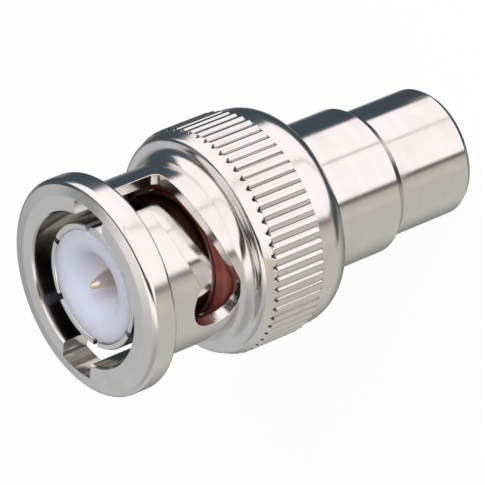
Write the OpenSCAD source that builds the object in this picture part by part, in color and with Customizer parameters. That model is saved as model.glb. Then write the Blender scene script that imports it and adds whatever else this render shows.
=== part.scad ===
/* [Socket end] */
// Outer diameter of the rear barrel
barrel_d = 8.3; // [7.8:0.1:8.8]
// Length of the rear barrel behind the body
barrel_l = 5.8; // [5:0.1:9]
// Rounding of the barrel's end
barrel_edge = 0.3; // [0.2:0.05:0.5]
// Bore of the barrel, which holds the rear insulator
barrel_bore_d = 6.8; // [6.2:0.1:7]
// Wall of the barrel's spigot inside the body
spigot_wall = 0.5; // [0.4:0.05:0.6]
// Length of the barrel's spigot inside the body
spigot_l = 7.9; // [6:0.1:9]
// Depth of the rear insulator's face inside the barrel
face_inset = 0.4; // [0.2:0.1:1]

/* [Socket contact] */
// Bore of the centre socket
socket_d = 3.2; // [3:0.05:3.4]
// Wall of the centre socket
socket_wall = 0.5; // [0.4:0.05:0.7]
// Depth of the socket's bore
socket_bore_l = 8.3; // [7:0.1:9]
// Slots in the centre socket
socket_slots = 4; // [2:1:6]
// Width of each socket slot
socket_slot_w = 0.4; // [0.2:0.05:0.5]
// Length of each socket slot
socket_slot_l = 6; // [4:0.5:7]
// Diameter of the hole in the rear insulator's face
lead_in_d = 3.6; // [3.55:0.05:3.8]
// Thickness of the insulator in front of the socket
lead_in_t = 0.7; // [0.5:0.1:1.2]
// Room for the socket's fingers to spread
finger_room = 0.2; // [0.1:0.05:0.4]

/* [Body] */
// Outer diameter of the body behind the sleeve
body_d = 9.5; // [9.2:0.1:10]
// Length of the body between the barrel and the sleeve
body_l = 6.55; // [5:0.05:9]
// Rounding of the body's rear edge
body_edge = 0.6; // [0.2:0.05:0.7]
// Diameter of the flange that the sleeve pulls on
seat_d = 11.86; // [11.4:0.02:12]
// Thickness of that flange
seat_t = 1.6; // [1.2:0.1:1.8]
// Thickness of the web between the two insulators
web_t = 1.2; // [0.8:0.1:1.6]
// Hole in the web
web_d = 5.2; // [4:0.1:6]

/* [Outer contact] */
// Outer diameter of the split contact
ferrule_d = 8.1; // [7.9:0.05:8.2]
// Wall of the split contact
ferrule_wall = 0.5; // [0.3:0.05:0.6]
// Depth of the contact's front inside the sleeve
ferrule_inset = 0.7; // [0.4:0.1:3]
// Slots in the split contact
ferrule_slots = 6; // [2:1:8]
// Width of each contact slot
ferrule_slot_w = 0.4; // [0.2:0.05:0.6]
// Length of each contact slot
ferrule_slot_l = 3.4; // [2:0.1:4.5]
// Direction of the first contact slot
ferrule_slot_a = 27; // [0:1:59]
// Step from the contact to the gasket's seat
gasket_step = 0.2; // [0.1:0.05:0.3]

/* [Gasket] */
// Length of the gasket
gasket_l = 2.2; // [1.5:0.1:2.6]
// Collar that the gasket rests on
collar_l = 0.55; // [0.3:0.05:0.8]
// Gap between the gasket and the sleeve
gasket_gap = 0.15; // [0.1:0.05:0.3]

/* [Front insulator and pin] */
// Diameter of the recess around the pin
recess_d = 4.8; // [4.4:0.1:5.2]
// Depth of the recess
recess_l = 5; // [4:0.1:6]
// Diameter of the contact pin
pin_d = 1.35; // [1.3:0.01:1.4]
// Diameter of the pin's shank inside the insulator
shank_d = 1.8; // [1.5:0.1:2.2]
// Length of the pin's curved point
pin_point_l = 1.7; // [1:0.1:2.2]
// Diameter at the very tip
pin_tip_d = 0.3; // [0.2:0.05:0.5]
// How far the tip stands out of the insulator
pin_out = 0.08; // [0:0.01:0.5]
// Depth of the pin's tail inside the socket
tail_l = 2; // [1.5:0.1:3]

/* [Sleeve] */
// Length of the coupling sleeve
sleeve_l = 15.2; // [14.5:0.05:17]
// Bore at the mouth
bore_d = 9.8; // [9.7:0.05:10]
// Wall of the neck
neck_wall = 0.72; // [0.6:0.02:0.9]
// Diameter of the front flange
flange_d = 13.85; // [13.2:0.05:14.4]
// Thickness of the front flange
flange_t = 1.87; // [1.4:0.01:2]
// Rounding of the flange's front edge
flange_edge = 0.6; // [0.2:0.05:0.8]
// Rounding of the flange's rear edge
flange_back_edge = 0.35; // [0.1:0.05:0.5]
// Depth of the countersink at the mouth
mouth_l = 0.45; // [0.2:0.05:0.6]
// Widening of the countersink at the front face
mouth_w = 0.4; // [0.2:0.05:0.6]
// Diameter of the plain rear band
rim_d = 14.1; // [13.8:0.05:14.3]
// Length of the rear band, with its rolled end
rim_l = 2.28; // [2:0.02:3]
// Length of the rolled end
roll_l = 1.45; // [0.8:0.05:1.8]
// Inward reach of the rolled end
roll_in = 0.63; // [0.3:0.01:0.75]
// Thickness of the lip that holds the washers
lip_t = 1.2; // [0.8:0.1:1.5]
// Length of the bevel between the knurl and the shoulder's face
bevel_l = 0.87; // [0.7:0.01:1.2]
// Lean of that bevel
bevel_a = 23; // [18:1:30]
// Rounding between that bevel and the shoulder's face
shoulder_edge = 0.35; // [0.1:0.05:0.5]
// Radius of the fillet between the neck and the shoulder
fillet_r = 0.78; // [0.4:0.02:0.9]

/* [Knurl] */
// Diameter over the teeth
knurl_d = 14.48; // [14.3:0.02:14.8]
// Length of the knurl at its full height
knurl_l = 3.7; // [3:0.05:5]
// Number of teeth
knurl_n = 62; // [40:1:72]
// Depth of the teeth
knurl_h = 0.17; // [0.12:0.01:0.3]
// Share of each tooth that is flat at its tip
knurl_tip = 0.5; // [0.2:0.05:0.7]
// Depth that is left of the grooves where they end on the bevel
groove_end = 0.03; // [0.02:0.01:0.06]

/* [Cam slots] */
// Width of the entry and of the cam slot
slot_w = 2.7; // [2.4:0.05:2.9]
// Depth of the entry into the flange, as a diameter
key_d = 11.9; // [11.6:0.05:12.4]
// Direction of the first entry
entry_a = 315.5; // [0:0.5:360]
// Turn from the entry to the detent pocket
detent_turn = 87.5; // [80:0.5:95]
// Middle of the slot at the entry, from the front face
slot_start = 4.83; // [4.6:0.01:5]
// Further depth of the slot at the crest
slot_rise = 1.28; // [1:0.02:1.4]
// Turn before the slot starts to rise
slot_dwell = 14; // [8:1:18]
// How late the rise comes
slot_power = 1.8; // [1.2:0.1:2.4]
// Middle of the detent pocket, from the front face
detent_depth = 5.9; // [5.7:0.05:6.1]
// Radius of the detent pocket
detent_r = 1.75; // [1.5:0.05:1.9]
// Place of the crest, as a share of the pocket's radius before its middle
crest_share = 0.76; // [0.6:0.01:0.9]
// Rounding of the entry's inner corner
entry_corner = 0.5; // [0.3:0.05:0.8]

/* [Washers] */
// Thickness of the flat thrust washer
thrust_t = 0.6; // [0.4:0.05:0.8]
// Free height of the wave washer
wave_h = 1.75; // [1.3:0.05:2]
// Thickness of the wave washer's strip
wave_t = 0.25; // [0.15:0.05:0.35]
// Waves around the washer
wave_n = 3; // [2:1:5]

/* [Clearances] */
// Radial gap of the turning sleeve and its washers
run_gap = 0.12; // [0.08:0.01:0.15]
// Gap between flat faces that bear on each other
seat_gap = 0.05; // [0.02:0.01:0.1]
// Radial gap of pieces that are pressed together
press_gap = 0.02; // [0.01:0.01:0.04]

/* [Hidden] */
$fn = 64;
cut = 1;

// Radii
body_r = body_d/2;
seat_r = seat_d/2;
ferrule_r = ferrule_d/2;
ferrule_bore_r = ferrule_r - ferrule_wall;
gasket_seat_r = ferrule_r + gasket_step;
gasket_r = bore_d/2 - gasket_gap;
spigot_r = barrel_bore_d/2 + spigot_wall;
socket_r = socket_d/2 + socket_wall;
pin_r = pin_d/2;
shank_r = shank_d/2;
pin_tip_r = pin_tip_d/2;
lip_r = body_r + run_gap;
chamber_r = seat_r + run_gap;
bore_r = bore_d/2;
neck_r = bore_r + neck_wall;
rim_r = rim_d/2;
flange_r = flange_d/2;
knurl_root_r = knurl_d/2 - knurl_h;
groove_end_r = knurl_root_r + groove_end;
roll_r = (roll_l*roll_l + roll_in*roll_in)/(2*roll_in);
point_r = (pin_point_l*pin_point_l + pow(pin_r - pin_tip_r, 2))/(2*(pin_r - pin_tip_r));

// Heights above the barrel's end face
sleeve_z = barrel_l + body_l;
front_z = sleeve_z + sleeve_l;
chamber_z = sleeve_z + lip_t;
thrust_z = chamber_z + seat_gap;
wave_z = thrust_z + thrust_t + seat_gap;
seat_z = wave_z + wave_h + seat_gap;
seat_top = seat_z + seat_t;
chamber_top = seat_top + 2*seat_gap;
gasket_z = seat_top + collar_l;
gasket_top = gasket_z + gasket_l;
ferrule_z = front_z - ferrule_inset;
web_z = barrel_l + spigot_l;
web_top = web_z + web_t;
recess_z = ferrule_z - recess_l;
pin_top = ferrule_z + pin_out;
socket_top = web_z - seat_gap;
socket_z = face_inset + lead_in_t + seat_gap;
finger_top = socket_z + socket_bore_l;
knurl_z = sleeve_z + rim_l;
groove_run = (knurl_h - groove_end)/tan(bevel_a);
groove_l = knurl_l + groove_run;
shoulder_z = rim_l + knurl_l + bevel_l;

// Angles of the cam slot
pocket_turn = detent_r/neck_r*180/PI;
crest_turn = detent_turn - crest_share*pocket_turn;
pocket_end = 172;

slot_out_r = flange_r + cut;
slot_in_r = ferrule_r;
slot_steps = 18;
wave_steps = 96;

// Point at a radius, a direction and a height
function polar(r, a, z) = [r*cos(a), r*sin(a), z];

// Triangles that join n rings of four corners into a bar, either closed on itself or capped at its ends
function bar_faces(n, closed) = concat(
    [for (k = [0 : n - (closed ? 1 : 2)], c = [0 : 3]) each
        let (a = 4*k, b = 4*((k + 1) % n), e = (c + 1) % 4)
        [[a + c, b + e, a + e], [a + c, b + c, b + e]]],
    closed ? [] : [[0, 1, 2, 3], [for (c = [3 : -1 : 0]) 4*(n - 1) + c]]);

// Bar along the rings of four corners
module bar(rings, closed) {
    polyhedron([for (ring = rings) each ring], bar_faces(len(rings), closed));
}

// Plain ring
module ring(r_out, r_in, h) {
    difference() {
        cylinder(r = r_out, h = h);
        translate([0, 0, -cut]) cylinder(r = r_in, h = h + 2*cut);
    }
}

// Hole on the axis between two heights
module hole(r, z0, z1) {
    translate([0, 0, z0]) cylinder(r = r, h = z1 - z0);
}

// Half section of a turned bar whose edge at the start is rounded
module rounded_start(r, h, edge) {
    square([r - edge, h]);
    translate([0, edge]) square([r, h - edge]);
    translate([r - edge, edge]) circle(edge);
}

// Evenly spaced slots cut inwards from an open end
module finger_slots(n, a, w, r, z0, z1) {
    for (i = [0 : n - 1])
        rotate(a + i*360/n)
        translate([0, -w/2, z0]) cube([r, w, z1 - z0]);
}

// Middle of the cam slot below the front face, t degrees past the entry
function slot_mid(t) =
    let (share = max(0, (t - slot_dwell)/(crest_turn - slot_dwell)))
    slot_start + slot_rise*pow(share, slot_power);
// Half the pocket's height at t degrees past the entry
function pocket_half(t) = detent_r*sqrt(max(0, 1 - pow((t - detent_turn)/pocket_turn, 2)));
// Front edge of the slot, which drops into the pocket past the crest
function slot_front(t) = t < crest_turn ? slot_mid(t) - slot_w/2 : detent_depth - pocket_half(t);
// Rear edge of the slot, which runs level at the pocket's depth and then follows its round end
function slot_rear(t) = t < detent_turn ? min(slot_mid(t) + slot_w/2, detent_depth + detent_r)
                                        : detent_depth + pocket_half(t);

// Cutter that sweeps the cam slot and its pocket around the neck
module slot_sweep() {
    ramp_turns = [for (k = [0 : slot_steps - 1]) k*crest_turn/slot_steps];
    pocket_turns = [for (k = [0 : slot_steps])
        let (share = k/slot_steps, v = acos(crest_share)*(1 - share) + pocket_end*share)
        detent_turn - pocket_turn*cos(v)];
    rings = [for (t = concat(ramp_turns, pocket_turns))
        [polar(slot_in_r, -t, front_z - slot_rear(t)), polar(slot_out_r, -t, front_z - slot_rear(t)),
         polar(slot_out_r, -t, front_z - slot_front(t)), polar(slot_in_r, -t, front_z - slot_front(t))]];
    bar(rings, false);
}

// Outline of the entry, across its width and along the axis
module entry_outline() {
    bottom = front_z - slot_rear(0);
    translate([-slot_w/2, bottom + entry_corner]) square([slot_w, slot_rear(0) + cut]);
    translate([-slot_w/2, bottom]) square([slot_w - entry_corner, slot_rear(0)]);
    translate([slot_w/2 - entry_corner, bottom + entry_corner]) circle(entry_corner);
}

// Entry from the front, which stops inside the flange
module entry_cut() {
    intersection() {
        rotate([90, 0, 90]) linear_extrude(slot_out_r) entry_outline();
        cylinder(d = key_d, h = front_z + 2*cut);
    }
}

// One bayonet track: the entry, then the rising cam slot with its detent pocket
module bayonet_cut() {
    entry_cut();
    slot_sweep();
}

// Rear rim with its end rolled inwards
module rim_profile() {
    difference() {
        square([rim_r, rim_l]);
        difference() {
            translate([rim_r - roll_r, -cut]) square([roll_r + cut, roll_l + cut]);
            translate([rim_r - roll_r, roll_l]) circle(roll_r);
            translate([rim_r - roll_r, -cut]) square([roll_r - roll_in, cut + roll_l]);
        }
    }
}

// Bevel in front of the grooves, with the rounded edge that meets the shoulder's face
module bevel_profile() {
    top = bevel_l - groove_run;
    middle = [groove_end_r - top*tan(bevel_a) - shoulder_edge*tan(45 - bevel_a/2), top - shoulder_edge];
    polygon([[0, 0], [groove_end_r, 0], middle + shoulder_edge*[cos(bevel_a), sin(bevel_a)],
             middle, [middle.x, top], [0, top]]);
    translate(middle) circle(shoulder_edge);
}

// Front flange with both edges rounded
module flange_profile() {
    intersection() {
        rounded_start(flange_r, flange_t, flange_back_edge);
        translate([0, flange_t]) mirror([0, 1]) rounded_start(flange_r, flange_t, flange_edge);
    }
}

// Half section of the sleeve's outside, from its rear face
module sleeve_profile() {
    neck_l = sleeve_l - shoulder_z - flange_t;
    rim_profile();
    translate([0, rim_l]) square([knurl_root_r - knurl_h, groove_l]);
    translate([0, rim_l + groove_l]) bevel_profile();
    translate([0, shoulder_z]) difference() {
        square([neck_r + fillet_r, fillet_r]);
        translate([neck_r + fillet_r, fillet_r]) circle(fillet_r);
    }
    translate([0, shoulder_z]) square([neck_r, neck_l]);
    translate([0, sleeve_l - flange_t]) flange_profile();
}

// Straight knurl, whose teeth run down onto the bevel at the front
module knurl() {
    step = 360/knurl_n;
    tip_r = knurl_d/2;
    intersection() {
        linear_extrude(groove_l)
            polygon([for (i = [0 : knurl_n - 1]) each
                [knurl_root_r*[cos(i*step), sin(i*step)],
                 tip_r*[cos((i + 0.5 - knurl_tip/2)*step), sin((i + 0.5 - knurl_tip/2)*step)],
                 tip_r*[cos((i + 0.5 + knurl_tip/2)*step), sin((i + 0.5 + knurl_tip/2)*step)]]]);
        cylinder(r1 = groove_end_r + groove_l*tan(bevel_a), r2 = groove_end_r, h = groove_l);
    }
}

module coupling_sleeve() {
    color([0.78, 0.78, 0.76]) difference() {
        union() {
            translate([0, 0, sleeve_z]) rotate_extrude() sleeve_profile();
            translate([0, 0, knurl_z]) knurl();
        }
        hole(lip_r, sleeve_z - cut, chamber_z + cut);
        hole(chamber_r, chamber_z, chamber_top);
        hole(bore_r, chamber_top - cut, front_z + cut);
        translate([0, 0, front_z - mouth_l])
            cylinder(r1 = bore_r, r2 = bore_r + 2*mouth_w, h = 2*mouth_l);
        for (side = [0, 180]) rotate(entry_a + side) bayonet_cut();
    }
}

module thrust_washer() {
    color([0.62, 0.60, 0.55]) translate([0, 0, thrust_z]) ring(seat_r, lip_r, thrust_t);
}

module wave_washer() {
    lift = (wave_h - wave_t)/2;
    rings = [for (k = [0 : wave_steps - 1])
        let (a = k*360/wave_steps, low = wave_z + lift*(1 + cos(wave_n*a)), high = low + wave_t)
        [polar(lip_r, a, high), polar(seat_r, a, high), polar(seat_r, a, low), polar(lip_r, a, low)]];
    color([0.55, 0.55, 0.57]) bar(rings, true);
}

module gasket() {
    color([0.62, 0.22, 0.15])
        translate([0, 0, gasket_z]) ring(gasket_r, gasket_seat_r + press_gap, gasket_l);
}

// Half section of the body's outside
module body_profile() {
    translate([0, barrel_l]) rounded_start(body_r, seat_top - barrel_l, body_edge);
    translate([0, seat_z]) square([seat_r, seat_t]);
    translate([0, seat_top]) square([gasket_r, collar_l]);
    translate([0, gasket_z]) square([gasket_seat_r, gasket_l]);
    translate([0, gasket_top]) square([ferrule_r, ferrule_z - gasket_top]);
}

module plug_body() {
    color([0.76, 0.76, 0.75]) difference() {
        rotate_extrude() body_profile();
        hole(spigot_r + press_gap, barrel_l - cut, web_z);
        hole(web_d/2, web_z - cut, web_top + cut);
        hole(ferrule_bore_r, web_top, ferrule_z + cut);
        finger_slots(ferrule_slots, ferrule_slot_a, ferrule_slot_w, ferrule_r + cut,
                     ferrule_z - ferrule_slot_l, ferrule_z + cut);
    }
}

module phono_barrel() {
    color([0.78, 0.78, 0.76]) difference() {
        rotate_extrude() {
            rounded_start(barrel_d/2, barrel_l - seat_gap, barrel_edge);
            square([spigot_r, web_z - seat_gap]);
        }
        hole(barrel_bore_d/2, -cut, web_z + cut);
    }
}

module front_insulator() {
    color([0.82, 0.82, 0.88]) difference() {
        translate([0, 0, web_top + seat_gap])
            cylinder(r = ferrule_bore_r - press_gap, h = ferrule_z - web_top - seat_gap);
        hole(recess_d/2, recess_z, ferrule_z + cut);
        hole(shank_r + press_gap, web_top - cut, recess_z + cut);
    }
}

// Half section of the pin's curved point, from where it leaves the straight part
module point_profile() {
    intersection() {
        square([pin_r, pin_point_l]);
        translate([pin_r - point_r, 0]) circle(point_r);
    }
}

module centre_pin() {
    straight_top = pin_top - pin_point_l;
    tail_z = socket_top - tail_l + seat_gap;
    color([0.80, 0.72, 0.55]) rotate_extrude() {
        translate([0, tail_z]) square([shank_r, recess_z - tail_z]);
        translate([0, recess_z]) square([pin_r, straight_top - recess_z]);
        translate([0, straight_top]) point_profile();
    }
}

module rear_insulator() {
    color([0.85, 0.85, 0.88]) difference() {
        translate([0, 0, face_inset])
            cylinder(r = barrel_bore_d/2 - press_gap, h = web_z - seat_gap - face_inset);
        hole(lead_in_d/2, face_inset - cut, socket_z);
        hole(socket_r + finger_room, socket_z - seat_gap, finger_top);
        hole(socket_r + press_gap, finger_top - cut, web_z + cut);
    }
}

module phono_socket() {
    color([0.80, 0.66, 0.38]) difference() {
        translate([0, 0, socket_z]) cylinder(r = socket_r, h = socket_top - socket_z);
        hole(socket_d/2, socket_z - cut, finger_top);
        hole(shank_r + press_gap, socket_top - tail_l, socket_top + cut);
        finger_slots(socket_slots, 0, socket_slot_w, socket_r + cut,
                     socket_z - cut, socket_z + socket_slot_l);
    }
}

coupling_sleeve();
thrust_washer();
wave_washer();
gasket();
plug_body();
phono_barrel();
front_insulator();
centre_pin();
rear_insulator();
phono_socket();
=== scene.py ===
import math

import bmesh
import bpy
from mathutils import Matrix, Quaternion, Vector


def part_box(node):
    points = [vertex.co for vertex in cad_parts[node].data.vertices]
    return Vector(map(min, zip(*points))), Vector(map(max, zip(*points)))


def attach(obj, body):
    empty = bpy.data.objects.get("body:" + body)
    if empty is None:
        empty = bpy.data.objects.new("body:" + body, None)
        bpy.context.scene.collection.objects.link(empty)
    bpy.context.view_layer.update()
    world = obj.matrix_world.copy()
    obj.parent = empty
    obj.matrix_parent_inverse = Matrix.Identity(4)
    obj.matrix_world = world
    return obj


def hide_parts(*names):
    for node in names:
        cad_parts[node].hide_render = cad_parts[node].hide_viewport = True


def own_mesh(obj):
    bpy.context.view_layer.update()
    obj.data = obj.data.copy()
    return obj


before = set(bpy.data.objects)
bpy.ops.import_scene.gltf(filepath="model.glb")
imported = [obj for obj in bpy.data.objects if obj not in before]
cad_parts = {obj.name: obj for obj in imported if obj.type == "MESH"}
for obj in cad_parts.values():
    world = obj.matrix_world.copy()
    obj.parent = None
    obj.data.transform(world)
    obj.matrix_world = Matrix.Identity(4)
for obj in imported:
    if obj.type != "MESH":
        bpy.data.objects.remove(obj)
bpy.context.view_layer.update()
scene = bpy.context.scene
turn = 2 * math.pi
onAxis = 1e-6  # a radius below this lies on the turning axis
metre = 0.001  # every size below is in millimetres, and finished meshes are scaled by this


def heights(node):
    low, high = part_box(node)
    return low.z / metre, high.z / metre


# what a face was made by: it decides how its normals run
plainTurned, roundedTurned, brokenEdge, milledWall, rolledKnurl = range(5)


# camera

photoView = dict(aim=(-0.973, 0.006, 15.64), distance=275.33, azimuth=-0.34, elevation=33.39,
                 roll=-112.21, lens=334.0, sensor=36.0, clip=(10.0, 10000.0))


def placeCamera(view):
    azimuth, elevation = math.radians(view["azimuth"]), math.radians(view["elevation"])
    back = Vector((math.sin(azimuth) * math.cos(elevation), -math.cos(azimuth) * math.cos(elevation),
                   math.sin(elevation)))
    data = bpy.data.cameras.new("photoCamera")
    data.lens, data.sensor_width = view["lens"], view["sensor"]
    data.clip_start, data.clip_end = (limit * metre for limit in view["clip"])
    camera = bpy.data.objects.new("photoCamera", data)
    scene.collection.objects.link(camera)
    camera.rotation_mode = "QUATERNION"
    camera.location = (Vector(view["aim"]) + back * view["distance"]) * metre
    level = (-back).to_track_quat("-Z", "Y")
    camera.rotation_quaternion = level @ Quaternion((0, 0, 1), math.radians(view["roll"]))
    scene.camera = camera


placeCamera(photoView)
print("camera placed")


# node helpers

def addNode(tree, kind, inputs=None, **settings):
    node = tree.nodes.new(kind)
    for name, value in settings.items():
        setattr(node, name, value)
    for key, value in (inputs or {}).items():
        if isinstance(value, bpy.types.NodeSocket):
            tree.links.new(value, node.inputs[key])
        else:
            node.inputs[key].default_value = value
    return node


def calc(tree, operation, *terms):
    return addNode(tree, "ShaderNodeMath", dict(enumerate(terms)), operation=operation).outputs[0]


def along(tree, vector, direction):
    inputs = {0: vector, 1: direction}
    return addNode(tree, "ShaderNodeVectorMath", inputs, operation="DOT_PRODUCT").outputs["Value"]


def ease(tree, value, low, high):
    # 0 to 1 between the bounds, or 1 to 0 where the first one is the higher
    inputs = {"Value": value, "From Min": low, "From Max": high}
    node = addNode(tree, "ShaderNodeMapRange", inputs, interpolation_type="SMOOTHSTEP")
    return node.outputs["Result"]


def blend(tree, share, first, second):
    return addNode(tree, "ShaderNodeMix", {0: share, 6: first, 7: second}, data_type="RGBA").outputs[2]


def opaque(red, green, blue):
    return (red, green, blue, 1.0)


# studio: the plain light, and the room that polished metal shows

# roof, rear, side and seam are directions; an edge holds the bounds of a fade between two surfaces
studio = dict(
    roof=(0.798, -0.602, 0.002), rear=(0.467, 0.616, -0.634), side=(-0.381, -0.507, -0.773),
    domeLean=0.396, domeSag=0.7, sagStart=0.55, rearFace=(0.0, 0.0, -1.0), domeEdge=(0.27, 0.335),
    domeSide=(-0.97, -0.86),
    domeColour=opaque(1.25, 1.19, 1.21), domeShade=opaque(0.62, 0.56, 0.53),
    seam=(0.783, 0.6225, 0.0), seamHalf=(0.012, 0.045), seamColour=opaque(0.74, 0.69, 0.68),
    counterEdge=(-0.36, -0.25), counterSide=(-0.3, 0.3), counterFade=(0.15, 0.75),
    counterLift=0.13, counterRise=(0.1, 0.5),
    counterLeft=opaque(0.585, 0.60, 0.62), counterRight=opaque(0.61, 0.60, 0.575),
    counterFar=opaque(0.27, 0.27, 0.27),
    warmWall=[(-0.36, (0.58, 0.57, 0.545)), (-0.28, (0.60, 0.58, 0.55)), (-0.20, (0.66, 0.63, 0.59)),
              (-0.12, (0.68, 0.64, 0.58)), (0.04, (0.58, 0.53, 0.46)), (0.11, (0.13, 0.12, 0.105)),
              (0.24, (0.15, 0.145, 0.13))],
    rearWall=opaque(0.062, 0.083, 0.10), rearEdge=(-0.12, 0.16),
    nearWall=opaque(0.66, 0.57, 0.48), nearEdge=(-0.45, -0.75),
    leftWall=opaque(0.36, 0.35, 0.33), leftEdge=(0.10, -0.30),
    endFace=(0.0, 0.0, 1.0), endEdge=(0.10, 0.45), endRear=(0.05, -0.10),
    endFloor=[(-0.75, (0.42, 0.42, 0.42)), (-0.50, (0.585, 0.60, 0.62)), (-0.44, (0.70, 0.69, 0.68)),
              (-0.36, (1.05, 1.00, 1.00)), (-0.28, (1.24, 1.17, 1.18)), (-0.06, (1.24, 1.17, 1.18)),
              (0.0, (0.04, 0.04, 0.038)), (0.25, (0.03, 0.03, 0.028))],
    plainLight=0.56,
)


def buildWorld(room):
    world = bpy.data.worlds.new("studio")
    scene.world = world
    world.use_nodes = True
    tree = world.node_tree
    tree.nodes.clear()
    ray = addNode(tree, "ShaderNodeTexCoord").outputs["Generated"]
    up, rear, side = (along(tree, ray, room[name]) for name in ("roof", "rear", "side"))

    def byHeight(bands):
        # colours that change with the height on the wall
        low, high = bands[0][0], bands[-1][0]
        share = calc(tree, "DIVIDE", calc(tree, "SUBTRACT", up, low), high - low)
        ramp = addNode(tree, "ShaderNodeValToRGB", {"Fac": share})
        stops = ramp.color_ramp.elements
        for k, (height, colour) in enumerate(bands):
            place = (height - low) / (high - low)
            stop = stops[k] if k < 2 else stops.new(place)
            stop.position, stop.color = place, opaque(*colour)
        return ramp.outputs["Color"]

    wall = blend(tree, ease(tree, side, *room["leftEdge"]), byHeight(room["warmWall"]), room["leftWall"])
    wall = blend(tree, ease(tree, rear, *room["nearEdge"]), wall, room["nearWall"])
    wall = blend(tree, ease(tree, rear, *room["rearEdge"]), wall, room["rearWall"])
    counter = blend(tree, ease(tree, side, *room["counterSide"]), room["counterLeft"], room["counterRight"])
    counter = blend(tree, ease(tree, rear, *room["counterFade"]), counter, room["counterFar"])
    lifted = calc(tree, "MULTIPLY", ease(tree, rear, *room["counterRise"]), room["counterLift"])
    seen = blend(tree, ease(tree, calc(tree, "SUBTRACT", up, lifted), *room["counterEdge"]), counter, wall)
    atEnd = ease(tree, along(tree, ray, room["endFace"]), *room["endEdge"])
    endShare = calc(tree, "MULTIPLY", atEnd, ease(tree, rear, *room["endRear"]))
    seen = blend(tree, endShare, seen, byHeight(room["endFloor"]))

    tilt = calc(tree, "MULTIPLY", calc(tree, "SUBTRACT", 1.0, atEnd), room["domeLean"])
    lean = calc(tree, "SUBTRACT", up, calc(tree, "MULTIPLY", rear, tilt))
    behind = calc(tree, "SUBTRACT", along(tree, ray, room["rearFace"]), room["sagStart"])
    beyond = calc(tree, "MAXIMUM", behind, 0.0)
    lean = calc(tree, "ADD", lean, calc(tree, "MULTIPLY", beyond, room["domeSag"]))
    offSeam = calc(tree, "ABSOLUTE", along(tree, ray, room["seam"]))
    bright = blend(tree, ease(tree, offSeam, *room["seamHalf"]), room["seamColour"], room["domeColour"])
    bright = blend(tree, ease(tree, side, *room["domeSide"]), room["domeShade"], bright)
    seen = blend(tree, ease(tree, lean, *room["domeEdge"]), seen, bright)

    path = addNode(tree, "ShaderNodeLightPath")
    shownRoom = addNode(tree, "ShaderNodeBackground", {"Color": seen, "Strength": 1.0})
    plain = addNode(tree, "ShaderNodeBackground", {"Color": opaque(1, 1, 1), "Strength": room["plainLight"]})
    white = addNode(tree, "ShaderNodeBackground", {"Color": opaque(1, 1, 1), "Strength": 1.0})
    byGloss = addNode(tree, "ShaderNodeMixShader", {0: path.outputs["Is Glossy Ray"],
                                                    1: plain.outputs[0], 2: shownRoom.outputs[0]})
    clear = calc(tree, "MAXIMUM", path.outputs["Is Camera Ray"], path.outputs["Is Transmission Ray"])
    byView = addNode(tree, "ShaderNodeMixShader", {0: clear, 1: byGloss.outputs[0], 2: white.outputs[0]})
    addNode(tree, "ShaderNodeOutputWorld", {"Surface": byView.outputs[0]})


softLamp = dict(place=(90.0, -220.0, 175.0), aim=(0.0, 0.0, 14.0), size=180.0, power=0.48)


def hangLamp(lamp):
    data = bpy.data.lights.new("softLamp", "AREA")
    data.shape, data.size, data.energy = "DISK", lamp["size"] * metre, lamp["power"]
    light = bpy.data.objects.new("softLamp", data)
    scene.collection.objects.link(light)
    light.location = Vector(lamp["place"]) * metre
    light.rotation_mode = "QUATERNION"
    light.rotation_quaternion = (Vector(lamp["aim"]) - Vector(lamp["place"])).to_track_quat("-Z", "Y")
    light.visible_glossy = False  # the room above already holds the highlights
    light.visible_camera = False


floorLook = dict(reach=2500.0, colour=opaque(0.98, 0.98, 0.98), glow=0.94)


def layFloor(look):
    half = look["reach"] * metre
    mesh = bpy.data.meshes.new("floor")
    square = [(-half, -half, 0), (half, -half, 0), (half, half, 0), (-half, half, 0)]
    mesh.from_pydata(square, [], [(0, 1, 2, 3)])
    floor = bpy.data.objects.new("floor", mesh)
    scene.collection.objects.link(floor)
    floor.visible_glossy = False  # metal shows the studio room instead
    material = bpy.data.materials.new("paleFloor")
    material.use_nodes = True
    tree = material.node_tree
    tree.nodes.clear()
    path = addNode(tree, "ShaderNodeLightPath")
    matt = addNode(tree, "ShaderNodeBsdfDiffuse", {"Color": look["colour"]})
    glow = addNode(tree, "ShaderNodeEmission", {"Color": opaque(1, 1, 1), "Strength": 1.0})
    share = calc(tree, "MULTIPLY", path.outputs["Is Camera Ray"], look["glow"])
    mixed = addNode(tree, "ShaderNodeMixShader", {0: share, 1: matt.outputs[0], 2: glow.outputs[0]})
    addNode(tree, "ShaderNodeOutputMaterial", {"Surface": mixed.outputs[0]})
    mesh.materials.append(material)


buildWorld(studio)
hangLamp(softLamp)
layFloor(floorLook)
scene.view_settings.view_transform = "Standard"
print("studio built")


# mesh helpers

def roundedLoop(corners, arcSteps=6):
    # corners are (radius, height, rounding); a rounding of None marks a point on a drawn curve
    points, kinds = [], []
    count = len(corners)
    for k, (radius, height, rounding) in enumerate(corners):
        here = Vector((radius, height))
        after = corners[(k + 1) % count]
        if not rounding:
            onCurve = rounding is None and after[2] is None
            points.append(here)
            kinds.append(roundedTurned if onCurve else plainTurned)
            continue
        back = (Vector(corners[k - 1][:2]) - here).normalized()
        ahead = (Vector(after[:2]) - here).normalized()
        half = back.angle(ahead) / 2
        centre = here + (back + ahead).normalized() * rounding / math.sin(half)
        spoke = here + back * rounding / math.tan(half) - centre
        sense = 1 if back.x * ahead.y - back.y * ahead.x < 0 else -1
        sweep = sense * (math.pi - 2 * half)
        for s in range(arcSteps + 1):
            points.append(centre + Matrix.Rotation(sweep * s / arcSteps, 2) @ spoke)
            kinds.append(roundedTurned if s < arcSteps else plainTurned)
    return points, kinds


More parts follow.
